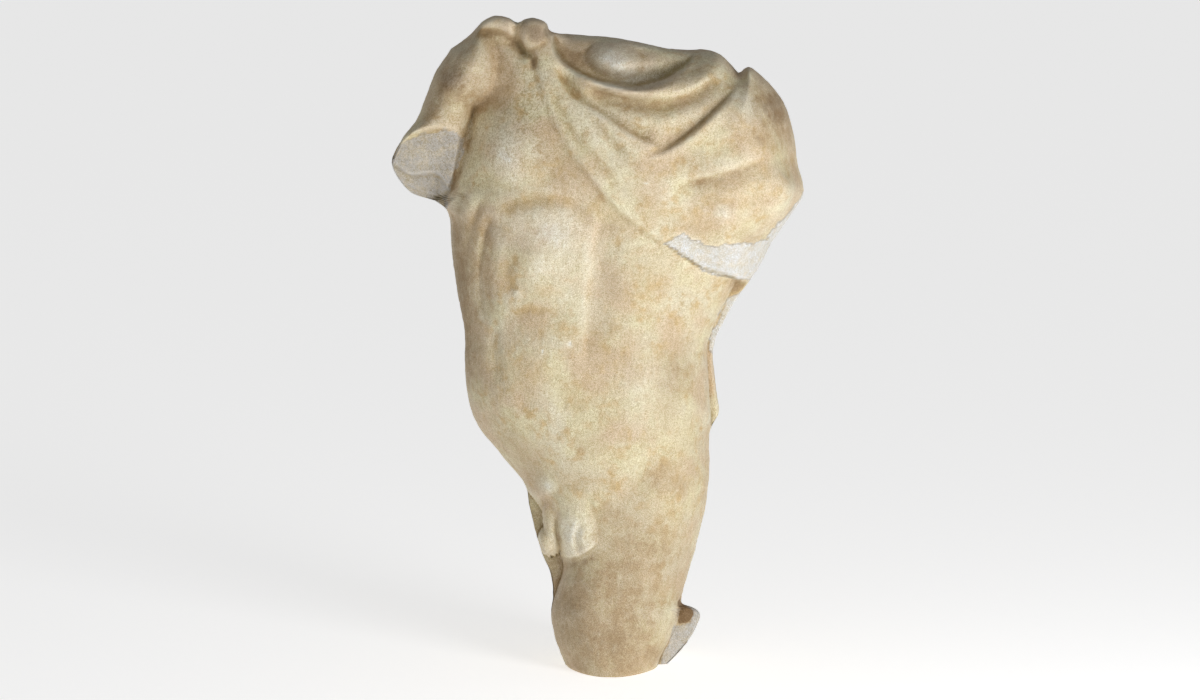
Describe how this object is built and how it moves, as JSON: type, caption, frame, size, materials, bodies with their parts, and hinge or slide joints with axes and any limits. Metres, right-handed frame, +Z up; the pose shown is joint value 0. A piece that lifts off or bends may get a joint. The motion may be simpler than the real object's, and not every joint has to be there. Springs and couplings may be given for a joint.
{
  "type": "marble torso fragment",
  "caption": "Headless carved male torso in a pinned cloak, with one thigh and a broken arm stub, standing on its broken underside.",
  "frame": {"origin": "on the level broken underside, below the middle of the thigh", "axes": "+Z up along the figure, -Y out of the chest towards the viewer, +X towards the figure's left shoulder"},
  "size_m": [0.1863, 0.0925, 0.3001],
  "materials": {
    "marble": "worn, unpolished"
  },
  "bodies": {
    "root": {"torso": "marble"}
  },
  "joints": []
}
